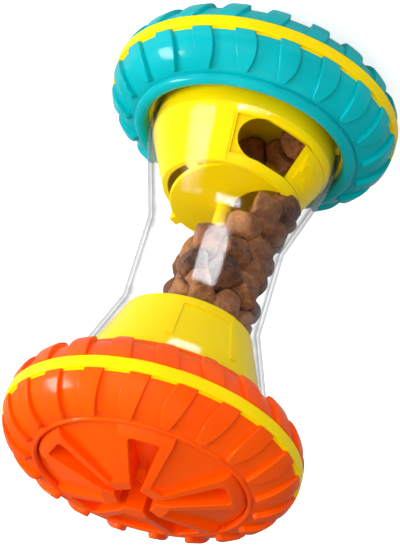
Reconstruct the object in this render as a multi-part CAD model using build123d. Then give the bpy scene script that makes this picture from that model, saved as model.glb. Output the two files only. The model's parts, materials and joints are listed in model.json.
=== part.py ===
from build123d import *
import os
from math import atan2, cos, degrees, hypot, radians, sin

# Treat dispenser: a clear hourglass body between two tyre-shaped wheels, standing on its teal wheel.
# Millimetres, +Z up along the body. Angles are degrees about +Z from +X.

# Clearances
SEAT_GAP = 0.1        # faces that seat on each other
SLIDE_GAP = 0.25      # sliding faces of moulded parts
LOOSE_GAP = 0.4       # parts that pass each other freely
SCREW_GAP = 0.1       # screw shank in its hole, on the radius
PIVOT_GAP = 0.06      # pivot shoulder in its bore, on the radius

# Tyres, heights measured outwards from the middle of the tread ring
RING_SPACING = 148.2      # between the middles of the two tread rings
INNER_SIDEWALL = 10.0     # radial height of a sidewall, collar to ring
OUTER_SIDEWALL = 13.0     # radial height of a sidewall, hub cap to ring
TREAD_FACE = 4.8          # width of the ring's outer face
TREAD_SHOULDER = 0.6      # width of the step on each side of that face
SHOULDER_DROP = 1.4       # depth of that step
TREAD_DEPTH = 4.9         # radial thickness of the ring
TYRE_WALL = 2.4
COLLAR_CLEAR = 1.5        # between the tyre's collar and the clear body
COLLAR_BEAD = 2.6         # radius of the collar's rolled edge
COLLAR_TOP = 18.1         # from ring middle to the rolled edge's tip
VALLEY_STEP = 0.7         # flat between the rolled edge and the sidewall
INNER_BULGE = 2.2
OUTER_BULGE = 2.4
RIM_BEAD = 1.0            # radius of the raised line round the hub cap
RIM_HEIGHT = 14.0         # from ring middle to the foot of that line

# Tread lugs
LUG_COUNT = 20
LUG_PHASE = 10.6          # where the first lug stands on its wheel
LUG_HEIGHT = 1.8
LUG_EDGE = 0.45           # rounding of a lug's top edge
LUG_FOOT = 6.6            # width at the ring
LUG_LEAN = 2.9            # how far the tip stands to one side
LUG_SWELL = 6.6           # how far the swollen side stands out
LUG_TIP = 1.9             # half width of the tip
LUG_LAP = 2.4             # how far a lug laps over the ring's step

# Hub cap
CAP_PHASE = 58.7          # where the first spoke stands on its wheel
CAP_RIM = 12.9            # height of the cap's edge
CAP_SEAT = 10.4           # height of the flange that it sits on
CAP_LAND = 23.4           # height of the lands that the toy stands on
CAP_WALL = 2.2
CAP_EDGE = 0.4            # rounding of the cap's edges
PIT_APOTHEM = 7.0         # centre to flat of the five-sided pit
PIT_FLOOR = 12.4
LAND_WIDTH = 5.5
PANEL_SINK = 1.6          # how far a panel's inner end lies below the lands
SPOKE_COUNT = 5
SPOKE_TOP = 17.3          # height of a spoke at its outer end, from where it rises to the lands
SPOKE_OUTER = 23.0        # width of a spoke at the rim
SPOKE_END = 3.6           # how far a spoke's rounded outer end slopes in
SPOKE_BULGE = 0.7
SPOKE_INNER = 6.4         # width of a spoke at the pit
POCKET_EDGE = 4.8         # from a spoke's pocket to the cap's edge
POCKET_OUTER = 12.0       # width of a spoke's pocket at its outer end
POCKET_INNER = 1.8        # width of the pocket where it opens into the pit
POCKET_ROUND = 1.5
CAP_SKIRT = 3.5           # height of the ring that plugs into the outer tyre
SKIRT_WALL = 1.3

# Core disc and bayonet
CORE_THICK = 3.0
SLEEVE_WALL = 2.9
BAYONET_COUNT = 3
BAYONET_ARC = 24.0        # width of a bayonet lug in degrees
BAYONET_LIFT = 1.2
BAYONET_LONG = 3.0        # length of a bayonet lug along the body
BAYONET_IN = 5.6          # from the body's end to the lug
LOCK_TURN = 40.0          # twist from free to locked, in degrees
TEAL_TURN = 33.2          # how the teal wheel is turned about the body

# Clear body, heights measured from its middle
BODY_WALL = 1.5
WAIST_RADIUS = 26.2
END_RADIUS = 36.2
TEAL_CONE = 35.0          # length of the cone, teal side
ORANGE_CONE = 29.0
TEAL_BACK = 22.1          # from the ring's middle to the end of the cone, teal side
ORANGE_BACK = 24.1
WAIST_BLEND = 14.0        # rounding where waist meets cone
BEAD_BACK = 19.5          # from the ring's middle to the raised line near the body's end
BEAD_WIDE = 1.6
BEAD_LIFT = 0.7
CUTOUT_ANGLE = 238.0      # middle of the cut-out over window and grip
CUTOUT_WIDE = 48.0
CUTOUT_SET = 1.5          # from the teal funnel's rim to the cut-out
CUTOUT_TALL = 16.6
CUTOUT_CORNER = 5.0
KEY_COUNT = 3
KEY_WIDE = 4.0
KEY_LONG = 11.0

# Funnels
FUNNEL_WALL = 2.0
FUNNEL_DROP = 1.0         # how far a funnel's shoulder stands beyond the body's
TEAL_CUP = 19.3           # from the end of the body's cone to the teal funnel's narrow rim
TEAL_MOUTH_CLEAR = 4.1    # between that rim and the clear body
ORANGE_CUP = 24.0
ORANGE_MOUTH_CLEAR = 1.8

# Outlet window and shutter, measured along the funnel's sloping wall from its narrow rim
WINDOW_ANGLE = 242.5
WINDOW_LOW = 3.4
WINDOW_TALL = 15.6
WINDOW_WIDE = 32.0
TRACK_DEPTH = 2.0
TRACK_BACK = 1.4          # wall behind the track
TRACK_LIP = 0.7
TRACK_LAP = 0.8           # how far the lips reach over the shutter's edges
TRACK_INSET = 0.3         # the track's opening stands this far inside the window's edges
TRACK_SLACK = 1.6         # degrees left at each end of the track
SHUTTER_LEAD = 226.0      # leading edge of the shutter as it stands, nearly open
SHUTTER_ARC = 70.0
SHUTTER_OPEN = 4.0        # degrees from there to fully open
SHUTTER_CLOSE = 52.0      # degrees from there to closed
GRIP_BACK = 4.0           # degrees from the leading edge to the grip
GRIP_ARC = 22.0
GRIP_LIFT = 0.6
GRIP_RIDGES = 8
RIDGE_LIFT = 0.5
RIDGE_WIDE = 0.8
STEP_WIDE = 1.6           # upright rib beside the track
STEP_LIFT = 0.5

# Chute plate
PLATE_MARGIN = 1.1        # between the plate's edge and the funnel's narrow rim
PLATE_THICK = 2.0
PLATE_TILT = 14.0
PLATE_RISE = 2.3          # from the funnel's narrow rim to the plate's centre
PLATE_FALL = 225.0        # direction in which the plate falls away from the waist
PLATE_SHIFT = 1.2         # the plate's centre stands off the axis, down the fall
HOLE_RADIUS = 11.6
HOLE_OFFSET = 14.4
HOLE_ANGLE = 178.0
POST_RADIUS = 2.9
POST_TALL = 14.7
POST_SLIT = 1.2
POST_SLIT_DEEP = 9.0
TAB_WIDE = 4.0
TAB_REACH = 3.2

# Orange funnel's closed floor, framed panel and cover
PANEL_START = 234.0
PANEL_END = 278.0
PANEL_RIB = 1.8
PANEL_LIFT = 0.8
PANEL_LIP = 4.6
FLOOR_SET = 0.7           # the floor stands this far inside the rim
FLOOR_THICK = 2.0
COVER_THICK = 2.8
LEDGE_WIDE = 1.6
LEDGE_THICK = 2.0

# Fasteners
SCREW_RADIUS = 1.5
SCREW_HEAD_RADIUS = 2.8
SCREW_HEAD_TALL = 2.0
DRIVE_RADIUS = 1.1
DRIVE_DEEP = 1.1
BOSS_RADIUS = 3.6
BOSS_SINK = 0.6           # how far a boss runs into the wall beside it
INNER_SCREW_EDGE = 4.8    # from the core's edge to the screws
INNER_SCREW_LONG = 7.0    # grip beyond the core disc
OUTER_SCREW_EDGE = 4.0    # from the cap's bore to the screws
OUTER_SCREW_LONG = 5.0    # grip beyond the flange
FLANGE_THICK = 4.0
FLANGE_WIDE = 8.1
FUNNEL_SCREW_LONG = 9.0   # grip beyond the core disc
PIVOT_RADIUS = 3.0
PIVOT_HEAD_RADIUS = 6.0
PIVOT_HEAD_TALL = 2.5
PIVOT_THREAD_RADIUS = 2.0
PIVOT_THREAD_LONG = 8.0
PIVOT_BOSS = 5.0

# Derived sizes
MIDDLE = CAP_LAND + RING_SPACING / 2
CORE_HALF = CORE_THICK / 2
BODY_END = RING_SPACING / 2 - CORE_HALF
FUNNEL_END = BODY_END - SEAT_GAP
TEAL_SHOULDER = RING_SPACING / 2 - TEAL_BACK
ORANGE_SHOULDER = RING_SPACING / 2 - ORANGE_BACK
TEAL_WAIST = TEAL_SHOULDER - TEAL_CONE
ORANGE_WAIST = ORANGE_SHOULDER - ORANGE_CONE
TEAL_FLARE = (END_RADIUS - WAIST_RADIUS) / TEAL_CONE
ORANGE_FLARE = (END_RADIUS - WAIST_RADIUS) / ORANGE_CONE
TEAL_MOUTH = TEAL_SHOULDER - TEAL_CUP
ORANGE_MOUTH = ORANGE_SHOULDER - ORANGE_CUP
TEAL_MOUTH_RADIUS = END_RADIUS - BODY_WALL - TEAL_FLARE * TEAL_CUP - TEAL_MOUTH_CLEAR
ORANGE_MOUTH_RADIUS = END_RADIUS - BODY_WALL - ORANGE_FLARE * ORANGE_CUP - ORANGE_MOUTH_CLEAR
PLATE_MIDDLE = TEAL_MOUTH - PLATE_RISE
CUTOUT_LOW = TEAL_MOUTH + CUTOUT_SET
BEAD_AT = RING_SPACING / 2 - BEAD_BACK
COLLAR_RADIUS = END_RADIUS + COLLAR_CLEAR
BEAD_X = COLLAR_RADIUS + COLLAR_BEAD
BEAD_Y = COLLAR_BEAD - COLLAR_TOP
SHOULDER_RADIUS = BEAD_X + COLLAR_BEAD + VALLEY_STEP + INNER_SIDEWALL
TREAD_RADIUS = SHOULDER_RADIUS + SHOULDER_DROP
RING_SIDE = TREAD_FACE / 2 + TREAD_SHOULDER
CORE_RADIUS = TREAD_RADIUS - TREAD_DEPTH
CAP_BORE = SHOULDER_RADIUS - OUTER_SIDEWALL - 2 * RIM_BEAD
CAP_RADIUS = CAP_BORE - LOOSE_GAP
POCKET_RADIUS = CAP_RADIUS - POCKET_EDGE
FLANGE_BORE = CAP_BORE - FLANGE_WIDE
INNER_SCREW_CIRCLE = CORE_RADIUS - INNER_SCREW_EDGE
OUTER_SCREW_CIRCLE = CAP_BORE - OUTER_SCREW_EDGE
SLEEVE_END = BEAD_Y + COLLAR_BEAD * 0.9
SLEEVE_BORE = END_RADIUS + SLIDE_GAP
SLEEVE_RADIUS = SLEEVE_BORE + SLEEVE_WALL
SLOT_RADIUS = END_RADIUS + BAYONET_LIFT + SLIDE_GAP
SKIRT_RADIUS = END_RADIUS - BODY_WALL - LOOSE_GAP
SKIRT_BORE = SKIRT_RADIUS - FUNNEL_WALL
FUNNEL_SCREW_CIRCLE = SKIRT_BORE - BOSS_RADIUS + BOSS_SINK
FLANGE_LOW = CAP_SEAT - FLANGE_THICK
HEAD_SEAT = CAP_SEAT - SCREW_HEAD_TALL - SLIDE_GAP
PLATE_RADIUS = TEAL_MOUTH_RADIUS - FUNNEL_WALL - PLATE_MARGIN
TRACK_LOW = WINDOW_LOW + TRACK_INSET
TRACK_HIGH = WINDOW_LOW + WINDOW_TALL - TRACK_INSET
TRACK_START = SHUTTER_LEAD - SHUTTER_ARC - SHUTTER_OPEN - TRACK_SLACK
TRACK_END = SHUTTER_LEAD + SHUTTER_CLOSE + TRACK_SLACK
LUG_PITCH = 360 / LUG_COUNT
SPOKE_PITCH = 360 / SPOKE_COUNT
SPOKE_TURNS = [SPOKE_PITCH * n for n in range(SPOKE_COUNT)]


def turned(edges, arc=360.0, start=0.0):
    """A solid of revolution about Z from edges drawn as (radius, height)."""
    face = Plane.XZ * make_face(edges)
    return Rot(0, 0, start) * revolve(face, Axis.Z, arc)


def turned_points(points, arc=360.0, start=0.0):
    """A solid of revolution from corner points (radius, height)."""
    return turned(Polyline(*points, close=True).edges(), arc, start)


def upright(radius, bottom, top):
    """A cylinder along Z between two heights."""
    return Pos(0, 0, (bottom + top) / 2) * Cylinder(radius, top - bottom)


def around(count, radius, turn=0.0):
    """Places spread evenly on a circle about Z."""
    return [Rot(0, 0, turn + 360 * n / count) * Pos(radius, 0, 0) for n in range(count)]


def leaning(start, end):
    """The length of a sloping line (radius, height), its direction, and the direction out from it."""
    run = hypot(end[0] - start[0], end[1] - start[1])
    along = ((end[0] - start[0]) / run, (end[1] - start[1]) / run)
    side = 1 if end[1] > start[1] else -1
    return run, along, (side * along[1], -side * along[0])


def bulged(start, end, bulge):
    """The middle point of an arc that stands out from the line between two points."""
    out = leaning(start, end)[2]
    return ((start[0] + end[0]) / 2 + bulge * out[0], (start[1] + end[1]) / 2 + bulge * out[1])


def screw(shank_long):
    """A pan-head screw, its head above the origin, with a blind drive hole."""
    body = upright(SCREW_RADIUS, -shank_long, 0) + upright(SCREW_HEAD_RADIUS, 0, SCREW_HEAD_TALL)
    body = fillet(body.faces().sort_by(Axis.Z)[-1].edges(), SCREW_HEAD_TALL * 0.4)
    body = chamfer(body.faces().sort_by(Axis.Z)[0].edges(), SCREW_RADIUS * 0.4)
    drive = extrude(RegularPolygon(DRIVE_RADIUS, 6), DRIVE_DEEP)
    return body - Pos(0, 0, SCREW_HEAD_TALL - DRIVE_DEEP) * drive


# Sidewalls run from the ring's step to the collar on the inside, and to the hub cap on the outside
INNER_START = (SHOULDER_RADIUS, -RING_SIDE)
INNER_END = (BEAD_X + COLLAR_BEAD + VALLEY_STEP, BEAD_Y + COLLAR_BEAD * 0.35)
OUTER_START = (SHOULDER_RADIUS, RING_SIDE)
OUTER_END = (CAP_BORE + 2 * RIM_BEAD, RIM_HEIGHT)


def lug(start, end, bulge):
    """One tread lug at angle 0 on a bulging sidewall; its foot laps over the ring's step."""
    side = 1 if end[1] > start[1] else -1
    run, along, out = leaning(start, end)
    mid = ((start[0] + end[0]) / 2, (start[1] + end[1]) / 2)
    lean = 2 * atan2(2 * bulge, run)
    end_out = (out[0] * cos(lean) + along[0] * sin(lean), out[1] * cos(lean) + along[1] * sin(lean))
    sunk = TYRE_WALL / 2
    step = SHOULDER_RADIUS + SEAT_GAP
    face = side * (TREAD_FACE / 2 + SEAT_GAP)
    high = (mid[0] + (bulge + LUG_HEIGHT) * out[0], mid[1] + (bulge + LUG_HEIGHT) * out[1])
    low = (mid[0] + (bulge - sunk) * out[0], mid[1] + (bulge - sunk) * out[1])
    high_end = (end[0] + LUG_HEIGHT * end_out[0], end[1] + LUG_HEIGHT * end_out[1])
    low_end = (end[0] - sunk * end_out[0], end[1] - sunk * end_out[1])
    crown = (TREAD_RADIUS - SEAT_GAP, face)
    band = turned(
        [
            ThreePointArc(crown, high, high_end),
            Line(high_end, low_end),
            ThreePointArc(low_end, low, (start[0] - sunk, start[1])),
            Polyline((start[0] - sunk, start[1]), (step, start[1]), (step, face), crown),
        ],
        arc=2 * LUG_PITCH,
        start=-LUG_PITCH,
    )
    look = Plane(origin=(mid[0], 0, mid[1]), x_dir=(0, 1, 0), z_dir=(out[0], 0, out[1]))
    foot = -side * (run / 2 + LUG_LAP)
    tip = side * (run / 2 - LUG_EDGE)
    neck = tip - side * LUG_TIP
    outline = make_face(
        [
            Line((-LUG_FOOT / 2, foot), (LUG_LEAN - LUG_TIP, neck)),
            ThreePointArc((LUG_LEAN - LUG_TIP, neck), (LUG_LEAN, tip), (LUG_LEAN + LUG_TIP, neck)),
            ThreePointArc((LUG_LEAN + LUG_TIP, neck), (LUG_SWELL, side * LUG_EDGE), (LUG_FOOT / 2, foot)),
            Line((LUG_FOOT / 2, foot), (-LUG_FOOT / 2, foot)),
        ]
    )
    swell_start = outline.vertices().sort_by_distance((LUG_LEAN + LUG_TIP, neck))[0]
    outline = fillet(swell_start, LUG_TIP)
    body = band & extrude(look * outline, LUG_FOOT, both=True)
    outward = Vector(out[0], 0, out[1])
    top = body.faces().sort_by(lambda f: f.normal_at(f.center()).dot(outward))[-1]
    return fillet(top.edges(), LUG_EDGE)


def tread_ring():
    """The yellow band between the tyre halves, with a step on each side for the lug ends."""
    low = CORE_RADIUS + SEAT_GAP / 2
    face = TREAD_FACE / 2
    half = [(low, RING_SIDE), (SHOULDER_RADIUS, RING_SIDE), (SHOULDER_RADIUS, face), (TREAD_RADIUS, face)]
    band = turned_points(half + [(r, -h) for r, h in reversed(half)])
    crown = [e for e in band.edges().filter_by(GeomType.CIRCLE) if e.radius > TREAD_RADIUS - SEAT_GAP]
    return fillet(crown, SHOULDER_DROP * 0.35)


def inner_tyre():
    """The half tyre on the body's side: rolled collar, sidewall, lugs and screw bosses."""
    lip = SLEEVE_END - SLIDE_GAP
    back = (SLEEVE_RADIUS + LOOSE_GAP, lip)
    inner_end = (INNER_END[0] - TYRE_WALL * 0.4, INNER_END[1] + TYRE_WALL)
    inner_start = (SHOULDER_RADIUS - TYRE_WALL, -RING_SIDE)
    bead_end = (BEAD_X + COLLAR_BEAD * 0.95, BEAD_Y + COLLAR_BEAD * 0.31)
    shell = turned(
        [
            ThreePointArc(INNER_START, bulged(INNER_START, INNER_END, INNER_BULGE), INNER_END),
            Line(INNER_END, bead_end),
            ThreePointArc(bead_end, (BEAD_X, -COLLAR_TOP), (COLLAR_RADIUS, BEAD_Y)),
            Polyline((COLLAR_RADIUS, BEAD_Y), (COLLAR_RADIUS, lip), back, inner_end),
            ThreePointArc(inner_end, bulged(inner_start, inner_end, INNER_BULGE), inner_start),
            Line(inner_start, INNER_START),
        ]
    )
    skin_start = (SHOULDER_RADIUS - TYRE_WALL / 2, -RING_SIDE)
    skin_end = (INNER_END[0] - TYRE_WALL * 0.2, INNER_END[1] + TYRE_WALL / 2)
    room = turned(
        [
            ThreePointArc(skin_start, bulged(skin_start, skin_end, INNER_BULGE), skin_end),
            Polyline(skin_end, (0, skin_end[1]), (0, 0), (skin_start[0], 0), skin_start),
        ]
    )
    boss = upright(BOSS_RADIUS, INNER_END[1], -CORE_HALF)
    boss -= upright(SCREW_RADIUS + SCREW_GAP, -CORE_HALF - INNER_SCREW_LONG, 0)
    bosses = [(place * boss) & room for place in around(SPOKE_COUNT, INNER_SCREW_CIRCLE)]
    one = lug(INNER_START, INNER_END, INNER_BULGE)
    lugs = [Rot(0, 0, LUG_PHASE + LUG_PITCH * (n + 0.5)) * one for n in range(LUG_COUNT)]
    return shell + bosses + lugs


def outer_tyre():
    """The half tyre on the far side: sidewall, lugs, and the flange under the hub cap."""
    inner_end = (CAP_BORE + TYRE_WALL, CAP_SEAT)
    inner_start = (SHOULDER_RADIUS - TYRE_WALL, RING_SIDE)
    shell = turned(
        [
            ThreePointArc(OUTER_START, bulged(OUTER_START, OUTER_END, OUTER_BULGE), OUTER_END),
            ThreePointArc(OUTER_END, (CAP_BORE + RIM_BEAD, RIM_HEIGHT + RIM_BEAD), (CAP_BORE, RIM_HEIGHT)),
            Polyline(
                (CAP_BORE, RIM_HEIGHT), (CAP_BORE, CAP_SEAT), (FLANGE_BORE, CAP_SEAT),
                (FLANGE_BORE, FLANGE_LOW), (CAP_BORE, FLANGE_LOW), inner_end,
            ),
            ThreePointArc(inner_end, bulged(inner_start, inner_end, OUTER_BULGE), inner_start),
            Line(inner_start, OUTER_START),
        ]
    )
    one = lug(OUTER_START, OUTER_END, OUTER_BULGE)
    lugs = [Rot(0, 0, LUG_PHASE + LUG_PITCH * n) * one for n in range(LUG_COUNT)]
    hole = upright(SCREW_RADIUS + 2 * SCREW_GAP, FLANGE_LOW, CAP_SEAT)
    hole += upright(SCREW_HEAD_RADIUS + SLIDE_GAP, HEAD_SEAT, CAP_SEAT)
    return shell + lugs - [place * hole for place in around(SPOKE_COUNT, OUTER_SCREW_CIRCLE)]


def bar(inner, inner_wide, outer, outer_wide, bottom, top):
    """A tapered bar along +X between two radii and two heights."""
    side = [(inner, inner_wide / 2), (outer, outer_wide / 2)]
    outline = Polyline(*side, *[(x, -y) for x, y in reversed(side)], close=True)
    return Pos(0, 0, bottom) * extrude(make_face(outline.edges()), top - bottom)


def every_spoke(piece):
    """A piece repeated at each spoke."""
    return [Rot(0, 0, turn) * piece for turn in SPOKE_TURNS]


def hub_cap():
    """The spoked cap: five pocketed spokes that rise to a five-sided pit, and sloping panels between them."""
    land = PIT_APOTHEM + LAND_WIDTH
    panel_top = CAP_LAND - PANEL_SINK
    cap = turned_points(
        [
            (0, CAP_SEAT), (CAP_RADIUS, CAP_SEAT), (CAP_RADIUS, CAP_RIM), (land, panel_top),
            (land, CAP_LAND), (0, CAP_LAND),
        ]
    )
    near = PIT_APOTHEM * 0.6
    far = CAP_RADIUS + CAP_WALL
    shoulder = (CAP_RADIUS - SPOKE_END, SPOKE_TOP)
    foot = (CAP_RADIUS, CAP_RIM)
    crown = turned(
        [
            ThreePointArc(foot, bulged(foot, shoulder, SPOKE_BULGE), shoulder),
            Polyline(shoulder, (land, CAP_LAND), (0, CAP_LAND), (0, CAP_SEAT), (CAP_RADIUS, CAP_SEAT), foot),
        ]
    )
    cap += every_spoke(bar(near, SPOKE_INNER, far, SPOKE_OUTER, CAP_SEAT, CAP_LAND) & crown)
    whole = cap
    pit = RegularPolygon(PIT_APOTHEM, SPOKE_COUNT, major_radius=False)
    cap -= Pos(0, 0, PIT_FLOOR) * extrude(pit, CAP_LAND)
    pocket = bar(near, POCKET_INNER, POCKET_RADIUS, POCKET_OUTER, PIT_FLOOR, CAP_LAND)
    ends = pocket.edges().filter_by(Axis.Z).sort_by(Axis.X)[-2:]
    cap -= every_spoke(fillet(ends, POCKET_ROUND))
    slope = (panel_top - CAP_RIM) / (CAP_RADIUS - land)
    hollow_in = land + CAP_WALL
    hollow_out = CAP_RADIUS - 2 * CAP_WALL
    under = turned_points(
        [
            (hollow_in, CAP_SEAT), (hollow_out, CAP_SEAT),
            (hollow_out, CAP_RIM - CAP_WALL + slope * (CAP_RADIUS - hollow_out)),
            (hollow_in, CAP_RIM - CAP_WALL + slope * (CAP_RADIUS - hollow_in)),
        ]
    )
    cuts = new_edges(whole, combined=cap)
    rims = [e for e in cuts if e.center().Z > SPOKE_TOP and abs(e.tangent_at(0.5).Z) < 0.9]
    cap = fillet(rims, CAP_EDGE)
    cap -= under - every_spoke(bar(near, SPOKE_INNER + CAP_WALL, far, SPOKE_OUTER + CAP_WALL, 0, CAP_LAND))
    skirt = FLANGE_BORE - SLIDE_GAP
    low = CAP_SEAT - CAP_SKIRT
    ring = [(skirt - SKIRT_WALL, low), (skirt, low), (skirt, CAP_SEAT), (skirt - SKIRT_WALL, CAP_SEAT)]
    return Rot(0, 0, CAP_PHASE) * (cap + turned_points(ring))


def core(centre_holes):
    """The disc inside a wheel, with the bayonet sleeve on the body's side and bosses on the other."""
    disc = upright(CORE_RADIUS, -CORE_HALF, CORE_HALF)
    disc += turned_points(
        [(SLEEVE_BORE, SLEEVE_END), (SLEEVE_RADIUS, SLEEVE_END), (SLEEVE_RADIUS, 0), (SLEEVE_BORE, 0)]
    )
    high = -CORE_HALF - BAYONET_IN + SLIDE_GAP
    low = high - BAYONET_LONG - 2 * SLIDE_GAP
    gap = degrees(SLIDE_GAP / END_RADIUS)
    entry = [(END_RADIUS, SLEEVE_END), (SLOT_RADIUS, SLEEVE_END), (SLOT_RADIUS, high), (END_RADIUS, high)]
    lock = [(END_RADIUS, low), (SLOT_RADIUS, low), (SLOT_RADIUS, high), (END_RADIUS, high)]
    for n in range(BAYONET_COUNT):
        start = 360 * n / BAYONET_COUNT - BAYONET_ARC / 2 - gap
        disc -= turned_points(entry, BAYONET_ARC + 2 * gap, start)
        disc -= turned_points(lock, BAYONET_ARC + 2 * gap + LOCK_TURN, start)
    outer_places = around(SPOKE_COUNT, OUTER_SCREW_CIRCLE)
    disc += [place * upright(BOSS_RADIUS, CORE_HALF, FLANGE_LOW) for place in outer_places]
    depth = FLANGE_LOW - OUTER_SCREW_LONG
    disc -= [place * upright(SCREW_RADIUS + SCREW_GAP, depth, FLANGE_LOW) for place in outer_places]
    through = upright(SCREW_RADIUS + 2 * SCREW_GAP, -CORE_HALF, CORE_HALF)
    disc -= [place * through for place in around(SPOKE_COUNT, INNER_SCREW_CIRCLE)]
    return disc - centre_holes


def inner_screws():
    """The screws that hold a wheel's inner tyre to its core."""
    one = Pos(0, 0, CORE_HALF) * screw(CORE_THICK + INNER_SCREW_LONG - SCREW_GAP)
    return [place * one for place in around(SPOKE_COUNT, INNER_SCREW_CIRCLE)]


def outer_screws():
    """The screws that hold a wheel's outer tyre to its core, under the hub cap."""
    one = Pos(0, 0, HEAD_SEAT) * screw(HEAD_SEAT - FLANGE_LOW + OUTER_SCREW_LONG - SCREW_GAP)
    return [place * one for place in around(SPOKE_COUNT, OUTER_SCREW_CIRCLE)]


def body_solid(offset, end):
    """The clear body's outline moved in by an offset, turned into a solid with its corners rounded."""
    wide = END_RADIUS - offset
    narrow = WAIST_RADIUS - offset
    points = [
        (0, -end), (wide, -end), (wide, -TEAL_SHOULDER), (narrow, -TEAL_WAIST),
        (narrow, ORANGE_WAIST), (wide, ORANGE_SHOULDER), (wide, end), (0, end),
    ]
    face = make_face(Polyline(*points, close=True).edges())
    corners = [v for v in face.vertices() if v.X > 0 and abs(v.Y) < end - LOOSE_GAP]
    return revolve(Plane.XZ * fillet(corners, WAIST_BLEND), Axis.Z, 360)


def bayonet_lugs(side):
    """The lugs on one end of the clear body, side -1 for teal, locked, and 1 for orange, free."""
    low = side * (BODY_END - BAYONET_IN - BAYONET_LONG)
    high = side * (BODY_END - BAYONET_IN)
    root = END_RADIUS - BODY_WALL / 2
    tip = END_RADIUS + BAYONET_LIFT
    points = [(root, low), (tip, low), (tip, high), (root, high)]
    first = -BAYONET_ARC / 2 if side > 0 else TEAL_TURN - LOCK_TURN - BAYONET_ARC / 2
    pitch = 360 / BAYONET_COUNT
    return [turned_points(points, BAYONET_ARC, first + pitch * n) for n in range(BAYONET_COUNT)]


def key_turns():
    """Angles of the keys between funnel and body, clear of the bayonet lugs."""
    return [Rot(0, 0, 360 * (n + 0.6) / KEY_COUNT) for n in range(KEY_COUNT)]


def clear_body():
    """The clear hourglass shell."""
    shell = body_solid(0, BODY_END) - body_solid(BODY_WALL, BODY_END + 1)
    for side in (-1, 1):
        shell += bayonet_lugs(side)
        low = side * (BEAD_AT - BEAD_WIDE / 2)
        high = side * (BEAD_AT + BEAD_WIDE / 2)
        root = END_RADIUS - BODY_WALL / 2
        ridge = END_RADIUS + BEAD_LIFT
        shell += turned_points([(root, low), (ridge, low), (ridge, high), (root, high)])
        notch = Box(4 * BODY_WALL, KEY_WIDE + 2 * SLIDE_GAP, KEY_LONG)
        place = Pos(END_RADIUS, 0, side * (BODY_END - KEY_LONG / 2))
        shell -= [turn * place * notch for turn in key_turns()]
    opening = extrude(Plane.YZ * RectangleRounded(CUTOUT_WIDE, CUTOUT_TALL, CUTOUT_CORNER), 2 * END_RADIUS)
    return shell - Rot(0, 0, CUTOUT_ANGLE) * Pos(0, 0, -CUTOUT_LOW - CUTOUT_TALL / 2) * opening


def keys():
    """Ribs on a funnel's skirt that keep it from turning in the clear body."""
    low = BODY_END - KEY_LONG + LOOSE_GAP
    reach = END_RADIUS - BODY_WALL / 3
    inner = SKIRT_RADIUS - FUNNEL_WALL / 2
    rib = Box(reach - inner, KEY_WIDE, FUNNEL_END - low)
    rib = Pos((inner + reach) / 2, 0, (low + FUNNEL_END) / 2) * rib
    return [turn * rib for turn in key_turns()]


def funnel_shell(mouth_radius, mouth, shoulder):
    """A funnel's wall from its narrow rim to its skirt's end, heights from the middle of the body."""
    half = FUNNEL_WALL / 2
    return turned_points(
        [
            (mouth_radius, mouth), (SKIRT_RADIUS, shoulder), (SKIRT_RADIUS, FUNNEL_END),
            (SKIRT_BORE, FUNNEL_END), (SKIRT_BORE, shoulder + half),
            (mouth_radius - FUNNEL_WALL, mouth + half), (mouth_radius - FUNNEL_WALL, mouth),
        ]
    )


def wall_band(wall, points, start, end):
    """A band of a funnel's wall between two angles; points run along the wall and out from it."""
    foot, top = wall
    along, out = leaning(foot, top)[1:]
    places = [(foot[0] + along[0] * a + out[0] * o, foot[1] + along[1] * a + out[1] * o) for a, o in points]
    return turned_points(places, end - start, start)


TEAL_WALL = ((TEAL_MOUTH_RADIUS, TEAL_MOUTH), (SKIRT_RADIUS, TEAL_SHOULDER + FUNNEL_DROP))
ORANGE_WALL = ((ORANGE_MOUTH_RADIUS, ORANGE_MOUTH), (SKIRT_RADIUS, ORANGE_SHOULDER + FUNNEL_DROP))


def funnel_screw_places():
    """Where the teal funnel is screwed to its core, halfway between the core's bosses."""
    return around(SPOKE_COUNT, FUNNEL_SCREW_CIRCLE, TEAL_TURN - SPOKE_PITCH / 2)


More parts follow.
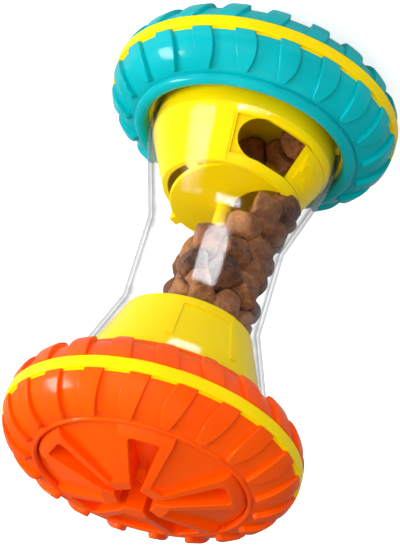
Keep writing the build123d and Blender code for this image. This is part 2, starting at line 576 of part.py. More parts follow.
def teal_funnel():
    """The cup with the outlet window, heights from the middle of the body towards the teal end."""
    run, along, out = leaning(*TEAL_WALL)
    cup = funnel_shell(*TEAL_WALL[0], TEAL_WALL[1][1]) + keys()
    sunk = -FUNNEL_WALL / 2
    back = -TRACK_DEPTH - TRACK_BACK
    low = TRACK_LOW - TRACK_LAP
    high = TRACK_HIGH + TRACK_LAP
    rest = [(low + sunk, sunk), (high - sunk, sunk), (high - sunk, back), (low + sunk, back)]
    cup += wall_band(TEAL_WALL, rest, TRACK_START - STEP_WIDE, TRACK_END + STEP_WIDE)
    rib_end = run - 2 * FUNNEL_WALL
    rib = [(-sunk, sunk), (-sunk, STEP_LIFT), (rib_end, STEP_LIFT), (rib_end, sunk)]
    rib_turn = degrees(STEP_WIDE / TEAL_MOUTH_RADIUS)
    cup += wall_band(TEAL_WALL, rib, TRACK_END + rib_turn / 2, TRACK_END + 1.5 * rib_turn)
    half = [(TRACK_LOW, 1), (TRACK_LOW, -TRACK_LIP), (low, -TRACK_LIP), (low, -TRACK_DEPTH)]
    track = half + [(TRACK_LOW + TRACK_HIGH - a, o) for a, o in reversed(half)]
    cup -= wall_band(TEAL_WALL, track, TRACK_START, TRACK_END)
    at = WINDOW_LOW + WINDOW_TALL / 2
    centre = (TEAL_MOUTH_RADIUS + along[0] * at, 0, TEAL_MOUTH + along[1] * at)
    look = Plane(origin=centre, x_dir=(0, 1, 0), z_dir=(out[0], 0, out[1]))
    window = extrude(look * SlotOverall(WINDOW_WIDE, WINDOW_TALL), WINDOW_TALL, both=True)
    cup -= Rot(0, 0, WINDOW_ANGLE) * window
    boss = upright(BOSS_RADIUS, BODY_END - FUNNEL_SCREW_LONG - FUNNEL_WALL, FUNNEL_END)
    boss -= upright(SCREW_RADIUS + SCREW_GAP, BODY_END - FUNNEL_SCREW_LONG, FUNNEL_END)
    cup += [place * boss for place in funnel_screw_places()]
    tall = 2 * PLATE_RADIUS * sin(radians(PLATE_TILT)) + TAB_WIDE
    tab = Pos(TEAL_MOUTH_RADIUS + sunk - TAB_REACH / 2, 0, TEAL_MOUTH) * Box(TAB_REACH, TAB_WIDE, tall)
    under = chute_slab(2 * PLATE_RADIUS, 2 * PLATE_RADIUS, PLATE_THICK)
    return cup + [(Rot(0, 0, PLATE_FALL + turn) * tab) & under for turn in (90, 180, 270)]


def chute_slab(radius, thick, drop):
    """A round slab square to the chute's slope, starting a drop below the plate's waist-side face."""
    turn = radians(PLATE_FALL)
    tilt = radians(PLATE_TILT)
    face = Plane(
        origin=(PLATE_SHIFT * cos(turn), PLATE_SHIFT * sin(turn), PLATE_MIDDLE),
        x_dir=(-sin(turn), cos(turn), 0),
        z_dir=(-sin(tilt) * cos(turn), -sin(tilt) * sin(turn), cos(tilt)),
    )
    return face * Pos(0, 0, drop + thick / 2) * Cylinder(radius, thick)


def chute_plate():
    """The sloped floor of the teal funnel, with its treat hole and split post."""
    plate = chute_slab(PLATE_RADIUS, PLATE_THICK, 0)
    plate = fillet(plate.edges().filter_by(GeomType.CIRCLE), PLATE_THICK * 0.3)
    hole = upright(HOLE_RADIUS, PLATE_MIDDLE - PLATE_RADIUS, PLATE_MIDDLE + PLATE_RADIUS)
    plate -= Rot(0, 0, HOLE_ANGLE) * Pos(HOLE_OFFSET, 0, 0) * hole
    tip = PLATE_MIDDLE + PLATE_THICK / 2 - POST_TALL
    post = upright(POST_RADIUS, tip, PLATE_MIDDLE + PLATE_THICK / 2)
    post = fillet(post.faces().sort_by(Axis.Z)[0].edges(), POST_RADIUS * 0.3)
    slit = Pos(0, 0, tip) * Box(4 * POST_RADIUS, POST_SLIT, 2 * POST_SLIT_DEEP)
    return plate + (post - Rot(0, 0, PLATE_FALL) * slit)


def outlet_shutter():
    """The curved slide in the funnel's track, with a ridged thumb grip."""
    low = TRACK_LOW + SLIDE_GAP
    high = TRACK_HIGH - SLIDE_GAP
    back = -TRACK_DEPTH + SLIDE_GAP
    edge = -TRACK_LIP - SLIDE_GAP
    half = [(low, 0), (low, edge), (low - TRACK_LAP, edge), (low - TRACK_LAP, back)]
    slide = half + [(low + high - a, o) for a, o in reversed(half)]
    shutter = wall_band(TEAL_WALL, slide, SHUTTER_LEAD - SHUTTER_ARC, SHUTTER_LEAD)
    inset = (high - low) * 0.12
    half = [(low + inset, edge), (low + inset, GRIP_LIFT / 3), (low + 2 * inset, GRIP_LIFT)]
    pad = half + [(low + high - a, o) for a, o in reversed(half)]
    grip_end = SHUTTER_LEAD - GRIP_BACK
    shutter += wall_band(TEAL_WALL, pad, grip_end - GRIP_ARC, grip_end)
    pitch = GRIP_ARC / (GRIP_RIDGES + 1)
    wide = degrees(RIDGE_WIDE / TEAL_MOUTH_RADIUS)
    top = GRIP_LIFT + RIDGE_LIFT
    for n in range(GRIP_RIDGES):
        start = grip_end - pitch * (n + 1) - wide / 2
        end = low + inset * (2.1 + abs(2 * n / (GRIP_RIDGES - 1) - 1))
        half = [(end, edge), (end, GRIP_LIFT), (end + RIDGE_LIFT, top)]
        ridge = half + [(low + high - a, o) for a, o in reversed(half)]
        shutter += wall_band(TEAL_WALL, ridge, start, start + wide)
    return shutter


def orange_funnel():
    """The closed cup that plugs the filling end, with a framed panel on its wall."""
    cup = funnel_shell(*ORANGE_WALL[0], ORANGE_WALL[1][1]) + keys()
    floor = ORANGE_MOUTH + FLOOR_SET
    cup += upright(ORANGE_MOUTH_RADIUS - FUNNEL_WALL / 2, floor, floor + FLOOR_THICK)
    seat = FUNNEL_END - COVER_THICK
    ledge = SKIRT_BORE - LEDGE_WIDE
    root = SKIRT_BORE + FUNNEL_WALL / 2
    foot = seat - LEDGE_THICK - LEDGE_WIDE
    cup += turned_points(
        [(ledge, seat), (root, seat), (root, foot), (SKIRT_BORE, foot), (ledge, seat - LEDGE_THICK)]
    )
    sunk = -FUNNEL_WALL / 2
    long = leaning(*ORANGE_WALL)[0] - 2 * FUNNEL_WALL
    rib = [(-sunk, sunk), (-sunk, PANEL_LIFT), (long, PANEL_LIFT), (long, sunk)]
    lip = [(-sunk, sunk), (-sunk, PANEL_LIFT), (PANEL_LIP, PANEL_LIFT), (PANEL_LIP, sunk)]
    rib_turn = degrees(PANEL_RIB / ORANGE_MOUTH_RADIUS)
    cup += wall_band(ORANGE_WALL, rib, PANEL_START, PANEL_START + rib_turn)
    cup += wall_band(ORANGE_WALL, rib, PANEL_END, PANEL_END + rib_turn)
    return cup + wall_band(ORANGE_WALL, lip, PANEL_START, PANEL_END)


def orange_funnel_cover():
    """The disc in the wide end of the orange funnel, with the pivot screw's boss."""
    disc = upright(SKIRT_BORE - SEAT_GAP, FUNNEL_END - COVER_THICK, FUNNEL_END)
    disc += upright(PIVOT_BOSS, FUNNEL_END - COVER_THICK - PIVOT_THREAD_LONG, FUNNEL_END)
    depth = FUNNEL_END - PIVOT_THREAD_LONG - SLIDE_GAP
    return disc - upright(PIVOT_THREAD_RADIUS + SCREW_GAP, depth, FUNNEL_END)


def pivot_screw():
    """The shoulder screw that holds the orange wheel to its funnel and lets it turn."""
    head = BODY_END + CORE_THICK + SEAT_GAP
    body = upright(PIVOT_RADIUS, FUNNEL_END, head)
    body += upright(PIVOT_THREAD_RADIUS, FUNNEL_END - PIVOT_THREAD_LONG, FUNNEL_END)
    body += upright(PIVOT_HEAD_RADIUS, head, head + PIVOT_HEAD_TALL)
    body = fillet(body.faces().sort_by(Axis.Z)[-1].edges(), PIVOT_HEAD_TALL * 0.3)
    drive = extrude(RegularPolygon(PIVOT_RADIUS * 0.7, 6), PIVOT_HEAD_TALL)
    return body - Pos(0, 0, head + PIVOT_HEAD_TALL / 2) * drive


def teal_funnel_screws():
    """The screws that hold the teal funnel to its core."""
    one = Pos(0, 0, BODY_END + CORE_THICK) * screw(CORE_THICK + FUNNEL_SCREW_LONG - SCREW_GAP)
    return [place * one for place in funnel_screw_places()]


def towards_teal(piece):
    """A piece drawn upwards from the middle of the body, turned to run down from it."""
    return Pos(0, 0, MIDDLE) * mirror(piece, Plane.XY)


def save(name, pieces):
    """Write one node's solids."""
    solids = [solid for piece in pieces for solid in piece.solids()]
    shape = solids[0] if len(solids) == 1 else Compound(solids)
    export_step(shape, f"parts/{name}.step")


UPWARDS = Pos(0, 0, MIDDLE)
ORANGE_WHEEL = Pos(0, 0, CAP_LAND + RING_SPACING)
TEAL_WHEEL = Pos(0, 0, CAP_LAND) * Rot(0, 0, TEAL_TURN) * Rot(180, 0, 0)
PIVOT_HOLE = upright(PIVOT_RADIUS + PIVOT_GAP, -CORE_HALF, CORE_HALF)
FUNNEL_SCREW_HOLES = [
    place * upright(SCREW_RADIUS + 2 * SCREW_GAP, -CORE_HALF, CORE_HALF)
    for place in around(SPOKE_COUNT, FUNNEL_SCREW_CIRCLE, SPOKE_PITCH / 2)
]

os.makedirs("parts", exist_ok=True)

wheel_pieces = {
    "tread_ring": [tread_ring()],
    "inner_tyre": [inner_tyre()],
    "outer_tyre": [outer_tyre()],
    "hub_cap": [hub_cap()],
    "inner_screws": inner_screws(),
    "outer_screws": outer_screws(),
}
for name, pieces in wheel_pieces.items():
    save(f"orange_{name}", [ORANGE_WHEEL * piece for piece in pieces])
    save(f"teal_{name}", [TEAL_WHEEL * piece for piece in pieces])
save("orange_core", [ORANGE_WHEEL * core(PIVOT_HOLE)])
save("teal_core", [TEAL_WHEEL * core(FUNNEL_SCREW_HOLES)])

save("clear_body", [UPWARDS * clear_body()])
save("orange_funnel", [UPWARDS * orange_funnel()])
save("orange_funnel_cover", [UPWARDS * orange_funnel_cover()])
save("orange_pivot_screw", [UPWARDS * pivot_screw()])
save("teal_funnel", [towards_teal(teal_funnel())])
save("chute_plate", [towards_teal(chute_plate())])
save("outlet_shutter", [towards_teal(outlet_shutter())])
save("teal_funnel_screws", [towards_teal(piece) for piece in teal_funnel_screws()])
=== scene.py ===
# %% [markdown]
# # A tumbling treat dispenser
# A clear hourglass full of dry treats sits between two tyre-shaped ends, one teal and one orange.
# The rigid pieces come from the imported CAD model, which is loaded first and never moved.
# This script gives them their finishes, fills the toy with treats and sets up the picture.

# %% Load the CAD frame
import json
import math
import random

import bpy
from mathutils import Matrix, Vector


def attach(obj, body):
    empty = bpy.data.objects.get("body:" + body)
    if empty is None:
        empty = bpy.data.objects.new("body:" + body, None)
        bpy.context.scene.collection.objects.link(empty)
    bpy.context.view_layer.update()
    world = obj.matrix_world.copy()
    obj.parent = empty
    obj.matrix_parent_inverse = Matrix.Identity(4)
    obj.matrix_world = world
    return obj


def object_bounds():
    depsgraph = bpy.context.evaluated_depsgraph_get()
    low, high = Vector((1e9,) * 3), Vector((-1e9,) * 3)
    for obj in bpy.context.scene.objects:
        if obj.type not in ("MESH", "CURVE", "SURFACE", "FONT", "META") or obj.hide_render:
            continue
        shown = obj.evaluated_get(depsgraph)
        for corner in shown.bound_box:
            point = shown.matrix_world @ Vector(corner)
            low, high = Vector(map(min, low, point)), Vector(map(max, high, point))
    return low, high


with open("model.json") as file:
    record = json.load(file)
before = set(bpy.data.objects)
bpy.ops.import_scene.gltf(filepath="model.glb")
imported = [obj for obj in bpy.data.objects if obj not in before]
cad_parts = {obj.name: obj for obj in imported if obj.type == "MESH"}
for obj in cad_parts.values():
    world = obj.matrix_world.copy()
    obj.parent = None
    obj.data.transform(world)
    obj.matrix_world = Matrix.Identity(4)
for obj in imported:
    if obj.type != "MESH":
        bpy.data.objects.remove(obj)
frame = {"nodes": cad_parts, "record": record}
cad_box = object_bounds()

bpy.ops.object.select_all(action="DESELECT")
nodes = frame["nodes"]
print("CAD nodes:", len(nodes), "box", [tuple(round(c, 4) for c in corner) for corner in cad_box])

# %% [markdown]
# ## The camera
# The toy is seen along a line 30 degrees above its middle, from the orange end, with the camera rolled
# so far over that the orange wheel hangs at the lower left of the picture.
# A rolled camera is hard to aim with angles, so its three axes are written down as directions instead:
# to the right of the picture, up the picture, and back towards the eye.

# %% Camera
MIDDLE = Vector((0, 0, (cad_box[0][2] + cad_box[1][2]) / 2))    # the toy's middle, on its axis
EYE = MIDDLE + Vector((0.0016, -1.0783, 0.6227))
RIGHT = Vector((-0.9556, -0.1471, -0.2553))
UP = Vector((0.2947, -0.4771, -0.8279))
BACK = Vector((0, -0.8664, 0.4993))
LENS = 223.8        # mm, on a sensor 36 mm wide: a long lens, as for a product picture

camera_data = bpy.data.cameras.new("camera")
camera_data.sensor_width = 36
camera_data.lens = LENS
camera_data.clip_end = 20
camera = bpy.data.objects.new("camera", camera_data)
bpy.context.scene.collection.objects.link(camera)
turn = Matrix((RIGHT, UP, BACK)).transposed().to_4x4()
camera.matrix_world = Matrix.Translation(EYE) @ turn
bpy.context.scene.camera = camera
print("camera", tuple(round(c, 3) for c in camera.location), "lens", LENS)

# %% [markdown]
# ## Shader sums as plain Python
# A node tree that is drawn by hand soon turns into a web of Math nodes.
# A small class that wraps one socket lets `1 - mask * 0.5` add those nodes for us,
# and one method adds any other node by its type, its settings and its inputs.
# An input is given by its name, or by its number, as in i0, where a node has several of one name.

# %% Socket arithmetic
class Flow:
    """One output socket of a material, with arithmetic."""

    def __init__(self, tree, socket):
        self.tree = tree
        self.socket = socket

    def node(self, kind, settings=None, out=0, **inputs):
        """Adds a node to the same material and returns one of its outputs."""
        made = self.tree.nodes.new(kind)
        for name, value in (settings or {}).items():
            if name == "stops":
                ramp = made.color_ramp
                while len(ramp.elements) < len(value):
                    ramp.elements.new(0.5)
                for element, (place, colour) in zip(ramp.elements, value):
                    element.position = place
                    element.color = colour
            else:
                setattr(made, name, value)
        for name, value in inputs.items():
            key = int(name[1:]) if name[0] == "i" and name[1:].isdigit() else name.replace("_", " ")
            if isinstance(value, Flow):
                self.tree.links.new(value.socket, made.inputs[key])
            else:
                made.inputs[key].default_value = value
        return Flow(self.tree, made.outputs[out])

    def maths(self, operation, first, second):
        return self.node("ShaderNodeMath", {"operation": operation}, i0=first, i1=second)

    def __add__(self, other):
        return self.maths("ADD", self, other)

    def __radd__(self, other):
        return self.maths("ADD", other, self)

    def __sub__(self, other):
        return self.maths("SUBTRACT", self, other)

    def __rsub__(self, other):
        return self.maths("SUBTRACT", other, self)

    def __mul__(self, other):
        return self.maths("MULTIPLY", self, other)

    def __rmul__(self, other):
        return self.maths("MULTIPLY", other, self)

    def __pow__(self, other):
        return self.maths("POWER", self, other)


def new_material(name):
    """An empty material with its output node; returns both and a Flow of Object coordinates."""
    material = bpy.data.materials.new(name)
    material.use_nodes = True
    tree = material.node_tree
    tree.nodes.clear()
    output = tree.nodes.new("ShaderNodeOutputMaterial")
    place = tree.nodes.new("ShaderNodeTexCoord")
    return material, output, Flow(tree, place.outputs["Object"])


print("shader helper ready")

# %% [markdown]
# ## Moulded plastic
# The tyres, cups and rings are injection-moulded: an even colour with a slight cloudiness,
# a satin skin that is never quite evenly smooth, and a very fine grain that breaks up the highlights.
# A single colour looks like computer plastic, so three noises of different sizes vary colour, gloss and
# relief.

# %% Moulded plastic finishes
def moulded(name, colour, shade, roughness, coat, grain):
    """A moulded plastic: colour and its darker shade, roughness, clear coat and strength of the grain."""
    material, output, place = new_material(name)
    cloud = place.node("ShaderNodeTexNoise", Vector=place, Scale=38.0, Detail=3.0)
    skin = place.node("ShaderNodeTexNoise", Vector=place, Scale=1400.0, Detail=2.0)
    wave = place.node("ShaderNodeTexNoise", Vector=place, Scale=160.0, Detail=2.0)
    mottle = cloud * 0.8 + skin * 0.2
    tint = place.node(
        "ShaderNodeValToRGB", {"stops": [(0.35, (*shade, 1)), (0.62, (*colour, 1))]}, Fac=mottle
    )
    relief = skin * 0.5 + wave
    bump = place.node("ShaderNodeBump", Strength=grain, Distance=0.0004, Height=relief)
    gloss = roughness - 0.08 + wave * 0.16
    surface = place.node(
        "ShaderNodeBsdfPrincipled",
        Base_Color=tint,
        Roughness=gloss,
        Coat_Weight=coat,
        Coat_Roughness=0.15,
        Specular_IOR_Level=0.05,
        Normal=bump,
    )
    place.tree.links.new(surface.socket, output.inputs["Surface"])
    return material


teal = moulded("teal_plastic", (0.0, 0.45, 0.49), (0.0, 0.39, 0.43), 0.42, 0.32, 0.05)
orange = moulded("orange_plastic", (1.0, 0.1, 0.0), (0.96, 0.08, 0.0), 0.42, 0.32, 0.05)
yellow = moulded("yellow_plastic", (1.0, 0.75, 0.0), (0.98, 0.69, 0.0), 0.34, 0.12, 0.03)
print("plastics:", teal.name, orange.name, yellow.name)

# %% [markdown]
# ## Clear plastic
# The hourglass is a thin polished wall. Light goes almost straight through it, so it needs no bending glass
# shader: a see-through surface mixed with a mirror-like one gives the long softbox reflections.
# The share of mirror is tiny face-on and rises where the wall is seen edge-on. The Facing output is used
# for that and not the Fresnel node, because Fresnel turns the inner face of a wall into a full mirror.
# Right at its outline, light runs a long way inside the wall and little comes out. A darker see-through
# shader, mixed in only there, draws the thin grey line that shows where clear plastic ends.

# %% Clear plastic finish
def clear_plastic():
    """A thin clear wall with reflections that grow towards its edges."""
    material, output, place = new_material("clear_plastic")
    haze = place.node("ShaderNodeTexNoise", Vector=place, Scale=60.0, Detail=2.0)
    edge_on = place.node("ShaderNodeLayerWeight", out="Facing", Blend=0.5)
    outline = place.node(
        "ShaderNodeMapRange", {"interpolation_type": "SMOOTHSTEP"}, Value=edge_on, From_Min=0.62, From_Max=0.9
    )
    through = place.node("ShaderNodeBsdfTransparent", Color=(0.985, 0.99, 0.99, 1))
    dim = place.node("ShaderNodeBsdfTransparent", Color=(0.36, 0.36, 0.4, 1))
    wall = place.node("ShaderNodeMixShader", i0=outline * 0.4, i1=through, i2=dim)
    shine = place.node(
        "ShaderNodeBsdfPrincipled",
        Base_Color=(0.85, 0.86, 0.88, 1),
        Roughness=haze * 0.08 + 0.04,
        Metallic=1.0,
    )
    share = place.node("ShaderNodeMixShader", i0=edge_on**6 * 0.7 + 0.003, i1=wall, i2=shine)
    place.tree.links.new(share.socket, output.inputs["Surface"])
    return material


clear = clear_plastic()
print("clear plastic:", clear.name)

# %% [markdown]
# ## Screws
# The screws are zinc-plated steel. Nobody sees them until the toy is taken apart, but they get a metal of
# their own, with fine turning marks in its roughness.

# %% Steel finish
def screw_steel():
    """Zinc-plated steel with a lightly uneven polish."""
    material, output, place = new_material("steel")
    marks = place.node("ShaderNodeTexNoise", Vector=place, Scale=900.0, Detail=3.0)
    tint = place.node(
        "ShaderNodeValToRGB", {"stops": [(0.3, (0.5, 0.5, 0.52, 1)), (0.7, (0.66, 0.66, 0.67, 1))]}, Fac=marks
    )
    rough = marks * 0.25 + 0.2
    surface = place.node("ShaderNodeBsdfPrincipled", Base_Color=tint, Metallic=1.0, Roughness=rough)
    place.tree.links.new(surface.socket, output.inputs["Surface"])
    return material


steel = screw_steel()
print("screws:", steel.name)

# %% [markdown]
# ## Finishes onto the CAD pieces
# Each node in the record names a material slot. Going by that slot paints every piece the same way as the
# record says, so nothing is forgotten.

# %% Paint the CAD nodes
FINISH = {
    "teal_plastic": teal,
    "orange_plastic": orange,
    "yellow_plastic": yellow,
    "clear_plastic": clear,
    "steel": steel,
}
for part in frame["record"]["subparts"]:
    mesh = nodes[part["node"]].data
    mesh.materials.clear()
    mesh.materials.append(FINISH[part["material_slot"]])

# %% [markdown]
# ## Dry treats
# The toy is pictured filled, so it gets a filling: dry brown treats about 12 mm across.
# Each is a lumpy nugget. A cube is cut once along each side, pulled a little towards a ball, has its corners
# pushed about at random, and is rounded off by a subdivision surface. A cloud texture then dents the skin,
# as baking does.
# Seven seeds give seven shapes, enough that no repeat catches the eye.

# %% Treat shapes
lumps = bpy.data.textures.new("lumps", "CLOUDS")
lumps.noise_scale = 0.5
lumps.noise_depth = 3
STRETCHES = [
    (1.25, 1.0, 0.9),
    (1.05, 1.1, 1.0),
    (1.35, 1.0, 0.85),
    (1.1, 1.15, 0.85),
    (1.2, 0.95, 1.05),
    (1.0, 1.0, 1.1),
    (1.3, 0.85, 1.0),
]


def treat_shape(seed, stretch):
    """One lumpy nugget, about 1 across, at the origin."""
    bpy.ops.object.select_all(action="DESELECT")
    bpy.ops.mesh.primitive_cube_add(size=0.8)
    bpy.ops.object.mode_set(mode="EDIT")
    bpy.ops.mesh.select_all(action="SELECT")
    bpy.ops.mesh.subdivide(number_cuts=1)
    bpy.ops.transform.tosphere(value=0.5)
    bpy.ops.transform.vertex_random(offset=0.4, seed=seed)
    bpy.ops.transform.resize(value=stretch)
    bpy.ops.object.mode_set(mode="OBJECT")
    pebble = bpy.context.object
    rounding = pebble.modifiers.new("rounding", "SUBSURF")
    rounding.levels = rounding.render_levels = 3
    bpy.ops.object.modifier_apply(modifier="rounding")
    dents = pebble.modifiers.new("dents", "DISPLACE")
    dents.texture = lumps
    dents.strength = 0.14
    bpy.ops.object.modifier_apply(modifier="dents")
    bpy.ops.object.shade_smooth()
    return pebble


pebbles = [treat_shape(seed, stretch) for seed, stretch in enumerate(STRETCHES)]
print("treat shapes:", len(pebbles), "faces each:", len(pebbles[0].data.polygons))

# %% [markdown]
# ## Filling the toy
# Treats that are scattered at random would hang in the air or sink into each other.
# Instead every treat starts as a ball at a random spot, and over a few hundred turns the balls drift one way,
# push their neighbours off and are put back inside the walls. What is left is a heap.
# The waist is filled from the sloping plate to the orange cup, with one side left empty as in the picture,
# and a smaller heap lies in the teal end, behind the outlet window.

# %% Room for the treats
# Lengths are in metres, and heights are from the toy's middle.
TREAT = 0.0062          # radius of a treat
SLACK = 0.0003          # between treats and the clear wall
WAIST = 0.0247          # inside radius of the waist
TEAL_WAIST = -0.017     # where the cone towards the teal end starts
CONE = 10 / 35          # how fast that cone opens
CUP_RIM = 0.026         # rim of the orange cup
EMPTY_SIDE = 0.0045     # no treat's centre stands further out to this side
LEAN_START = -0.002     # below this height, the heap's edge leans away from that side
LEAN = 1.1              # slope of that edge
PLATE_MIDDLE = -0.0301  # top of the sloping plate, on the axis
PLATE_SLOPE = math.tan(math.radians(14))
PLATE_FALL = Vector((math.cos(math.radians(225)), math.sin(math.radians(225)), 0))
HOLE = Vector((-0.0144, 0.0005, 0))     # middle of the treat hole in the plate
HOLE_RADIUS = 0.0116
POST_TOP = -0.0167      # tip of the post on the plate
POST_RADIUS = 0.0029
CORE_TOP = -0.0722      # disc that the treats in the teal end lie on
CUP_FILL = -0.055       # no treat's centre stands higher in the teal end
CUP_REACH = 0.019       # or further from the axis


def wall_radius(height):
    """Room from the axis to the clear wall, at a height above the toy's middle."""
    return WAIST + CONE * max(TEAL_WAIST - height, 0) - SLACK


def plate_top(spot):
    """Height of the sloping plate under a spot."""
    return PLATE_MIDDLE - PLATE_SLOPE * spot.dot(PLATE_FALL)


def held_within(spot, radius):
    """Moves a spot towards the axis until it lies within a radius."""
    reach = math.hypot(spot.x, spot.y)
    if reach > radius:
        spot.x *= radius / reach
        spot.y *= radius / reach


def in_waist(spot):
    """Keeps a treat in the waist: above the plate and its post, under the orange cup, off the empty side."""
    spot.x = min(spot.x, EMPTY_SIDE - LEAN * max(LEAN_START - spot.z, 0))
    low = plate_top(spot) + TREAT
    if math.hypot(spot.x - HOLE.x, spot.y - HOLE.y) < HOLE_RADIUS / 2:
        low -= TREAT
    spot.z = min(max(spot.z, low), CUP_RIM - TREAT)
    held_within(spot, wall_radius(spot.z) - TREAT)
    reach = math.hypot(spot.x, spot.y)
    if spot.z < POST_TOP + TREAT and reach < POST_RADIUS + TREAT:
        spot.z = POST_TOP + TREAT


def in_teal_cup(spot):
    """Keeps a treat in the teal end: on the core disc, inside the cup and below the window's middle."""
    spot.z = min(max(spot.z, CORE_TOP + TREAT), CUP_FILL)
    held_within(spot, CUP_REACH)


print("waist", round(2000 * WAIST, 1), "mm across inside, treats", round(2000 * TREAT, 1), "mm")

# %% Heap the treats
SCATTER = 0.02          # how far from its start a treat may begin
TURNS = 300


def heap(count, seed, start, pull, keep):
    """Heaps balls in a space and returns their middles."""
    chance = random.Random(seed)
    spots = []
    for _ in range(count):
        spots.append(Vector(start) + Vector([chance.uniform(-SCATTER, SCATTER) for _ in range(3)]))
    for _ in range(TURNS):
        for number, spot in enumerate(spots):
            spot += Vector(pull)
            for other in spots[:number]:
                apart = spot - other
                short = 2 * TREAT - apart.length
                if short > 0:
                    push = apart.normalized() * short / 2
                    spot += push
                    other -= push
        for spot in spots:
            keep(spot)
    return spots


waist_heap = heap(44, 4, (-0.008, 0, 0), (-0.00005, 0, 0), in_waist)
cup_heap = heap(3, 7, (-0.011, 0.014, -0.062), (-0.00005, 0.00006, -0.0001), in_teal_cup)
print("heaped", len(waist_heap), "treats in the waist and", len(cup_heap), "in the teal end")

# %% [markdown]
# ## One mesh of treats
# Every treat is a copy of a nugget with its own turn, size and place. A nugget is longer than the ball that
# held its place, so one that pokes through the wall, the plate or the cup's rim is pushed back by as much as
# it sticks out.
# Loose treats ride with the clear body, so they are joined into one object.

# %% Copy and join the treats
def tucked_in(mesh):
    """Pushes a treat of the waist back inside the wall, onto the plate and under the orange cup's rim."""
    for _ in range(3):      # a push off one wall may move it into another
        out, up, down = 0, 0, 0
        inwards = Vector()
        for vertex in mesh.vertices:
            spot = vertex.co - MIDDLE
            reach = math.hypot(spot.x, spot.y)
            if reach - wall_radius(spot.z) > out:
                out = reach - wall_radius(spot.z)
                inwards = Vector((-spot.x / reach, -spot.y / reach, 0))
            if math.hypot(spot.x - HOLE.x, spot.y - HOLE.y) > HOLE_RADIUS:
                up = max(up, plate_top(spot) - spot.z)
            down = max(down, spot.z - CUP_RIM)
        mesh.transform(Matrix.Translation(inwards * out + Vector((0, 0, up - down))))


def place_treats(spots, seed):
    """A turned copy of a nugget at every spot."""
    chance = random.Random(seed)
    made = []
    for number, spot in enumerate(spots):
        copy = bpy.data.objects.new("treat", pebbles[number % len(pebbles)].data.copy())
        bpy.context.scene.collection.objects.link(copy)
        axis = Vector([chance.gauss(0, 1) for _ in range(3)])
        size = 2 * TREAT * chance.uniform(1.0, 1.2)
        copy.data.transform(
            Matrix.Translation(MIDDLE + spot)
            @ Matrix.Rotation(chance.uniform(0, math.pi), 4, axis)
            @ Matrix.Scale(size, 4)
        )
        made.append(copy)
    return made


bpy.ops.object.select_all(action="DESELECT")
copies = place_treats(waist_heap, 11)
for copy in copies:
    tucked_in(copy.data)
copies += place_treats(cup_heap, 12)
for copy in copies:
    copy.select_set(True)
bpy.context.view_layer.objects.active = copies[0]
bpy.ops.object.join()
treats = bpy.context.object
treats.name = "treats"
for pebble in pebbles:
    bpy.data.objects.remove(pebble)
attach(treats, "clear_end")
print("treats:", len(treats.data.polygons), "faces")

# %% [markdown]
# ## Baked crust
# The treats are brown with a reddish warmth, no two quite alike, dry and finely pitted.
# The Geometry node has one random number for each separate island of a mesh, which shifts the brown from
# treat to treat.
# Where treats touch little light reaches, and there the brown is darkened as painted shade, from an ambient
# occlusion node.

# %% Treat finish
# The darkest stop stands for burnt spots and for the painted shade in the gaps between treats.
BURNT_AND_SHADE = (0.1, (0.04, 0.013, 0.007, 1))      # stops of the colour ramp: place and colour
BROWN = (0.42, (0.23, 0.078, 0.026, 1))
TAN = (0.75, (0.5, 0.21, 0.075, 1))


def crust():
    """Dry baked brown with fine pits, and painted shade where treats touch."""
    material, output, place = new_material("treat")
    each = place.node("ShaderNodeNewGeometry", out="Random Per Island")
    patch = place.node("ShaderNodeTexNoise", Vector=place, Scale=220.0, Detail=4.0)
    pits = place.node("ShaderNodeTexNoise", Vector=place, Scale=650.0, Detail=3.0)
    # Ambient occlusion darkens the base colour where treats touch: this is painted shade.
    painted_shade_ao = place.node("ShaderNodeAmbientOcclusion", {"samples": 8}, out="AO", Distance=0.005)
    shade = each * 0.4 + patch * 0.5 + pits * 0.45 - 0.45 + painted_shade_ao * 0.35
    tint = place.node("ShaderNodeValToRGB", {"stops": [BURNT_AND_SHADE, BROWN, TAN]}, Fac=shade)
    bump = place.node("ShaderNodeBump", Strength=0.9, Distance=0.0012, Height=pits + patch)
    dry = patch * 0.25 + 0.4
    surface = place.node("ShaderNodeBsdfPrincipled", Base_Color=tint, Roughness=dry, Normal=bump)
    place.tree.links.new(surface.socket, output.inputs["Surface"])
    return material


treats.data.materials.clear()
treats.data.materials.append(crust())
print("treats painted with", treats.data.materials[0].name)

# %% [markdown]
# ## A plain floor and soft light
# The toy stands on a plain pale floor under a white world. A tall key lamp at the right draws the long
# highlights. Three broad lamps lift the shadows: they light the plastic but are left out of its reflections,
# which would wash the colours out. Two small cards light the clear shell only and show in it as white
# streaks.

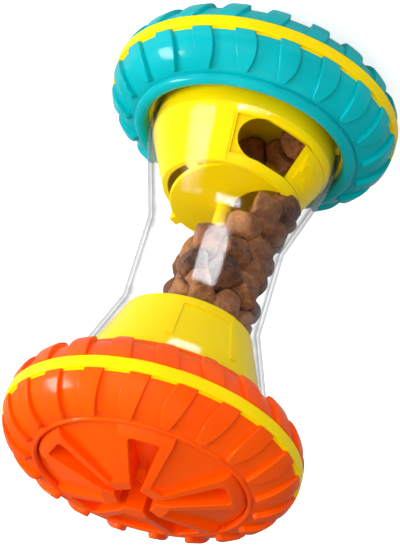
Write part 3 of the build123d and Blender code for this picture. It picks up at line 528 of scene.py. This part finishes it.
# %% Floor and world
def pale_floor():
    """A pale floor: near white to the camera, and a plain grey-white to the light that falls on the toy."""
    material, output, place = new_material("floor")
    paper = place.node("ShaderNodeTexNoise", Vector=place, Scale=40.0, Detail=2.0)
    tint = place.node(
        "ShaderNodeValToRGB",
        {"stops": [(0.3, (0.79, 0.79, 0.79, 1)), (0.7, (0.81, 0.81, 0.81, 1))]},
        Fac=paper,
    )
    dull = place.node("ShaderNodeBsdfPrincipled", Base_Color=tint, Roughness=0.9, Specular_IOR_Level=0.0)
    lit = place.node("ShaderNodeEmission", Color=(1, 1, 1, 1), Strength=0.75)
    both = place.node("ShaderNodeAddShader", i0=dull, i1=lit)
    seen = place.node("ShaderNodeLightPath", out="Is Camera Ray")
    share = place.node("ShaderNodeMixShader", i0=seen, i1=dull, i2=both)
    place.tree.links.new(share.socket, output.inputs["Surface"])
    return material


bpy.ops.mesh.primitive_plane_add(size=8, location=(0, 0, 0))
floor = bpy.context.object
floor.name = "floor"
floor.data.materials.append(pale_floor())

world = bpy.data.worlds.new("world")
bpy.context.scene.world = world
world.use_nodes = True
background = world.node_tree.nodes["Background"]
background.inputs["Color"].default_value = (1, 1, 1, 1)
background.inputs["Strength"].default_value = 0.2
print("stage:", floor.name, "and", world.name)

# %% Lamps
TOY = (0, 0, 0.09)      # where the large lamps are aimed


def softbox(name, place, aim, size, power):
    """A rectangular lamp that faces a point."""
    lamp = bpy.data.lights.new(name, "AREA")
    lamp.shape = "RECTANGLE"
    lamp.size, lamp.size_y = size
    lamp.energy = power
    box = bpy.data.objects.new(name, lamp)
    bpy.context.scene.collection.objects.link(box)
    box.location = place
    box.rotation_euler = (Vector(aim) - Vector(place)).to_track_quat("-Z", "Y").to_euler()
    return box


softbox("key", (0.9, -0.05, 0.46), TOY, (0.2, 0.46), 7)
for broad in (
    softbox("top", (0.2, -0.65, 1.35), TOY, (1.5, 1.2), 8),
    softbox("front", (0.6, -1.15, 0.7), TOY, (1.0, 0.7), 9.5),
    softbox("fill", (-0.8, -0.95, 0.5), TOY, (0.8, 0.8), 2.5),
):
    broad.visible_glossy = False
shell_only = bpy.data.collections.new("shell_only")
shell_only.objects.link(nodes["clear_body"])
for card in (
    softbox("waist_card", (-0.006, -0.17, 0.034), (0, 0, 0.1), (0.115, 0.05), 2.2),
    softbox("cup_card", (0.273, -0.183, 0.033), (0, 0, 0.06), (0.17, 0.045), 1.1),
):
    card.visible_diffuse = False
    card.light_linking.receiver_collection = shell_only
bpy.context.scene.view_settings.view_transform = "Standard"
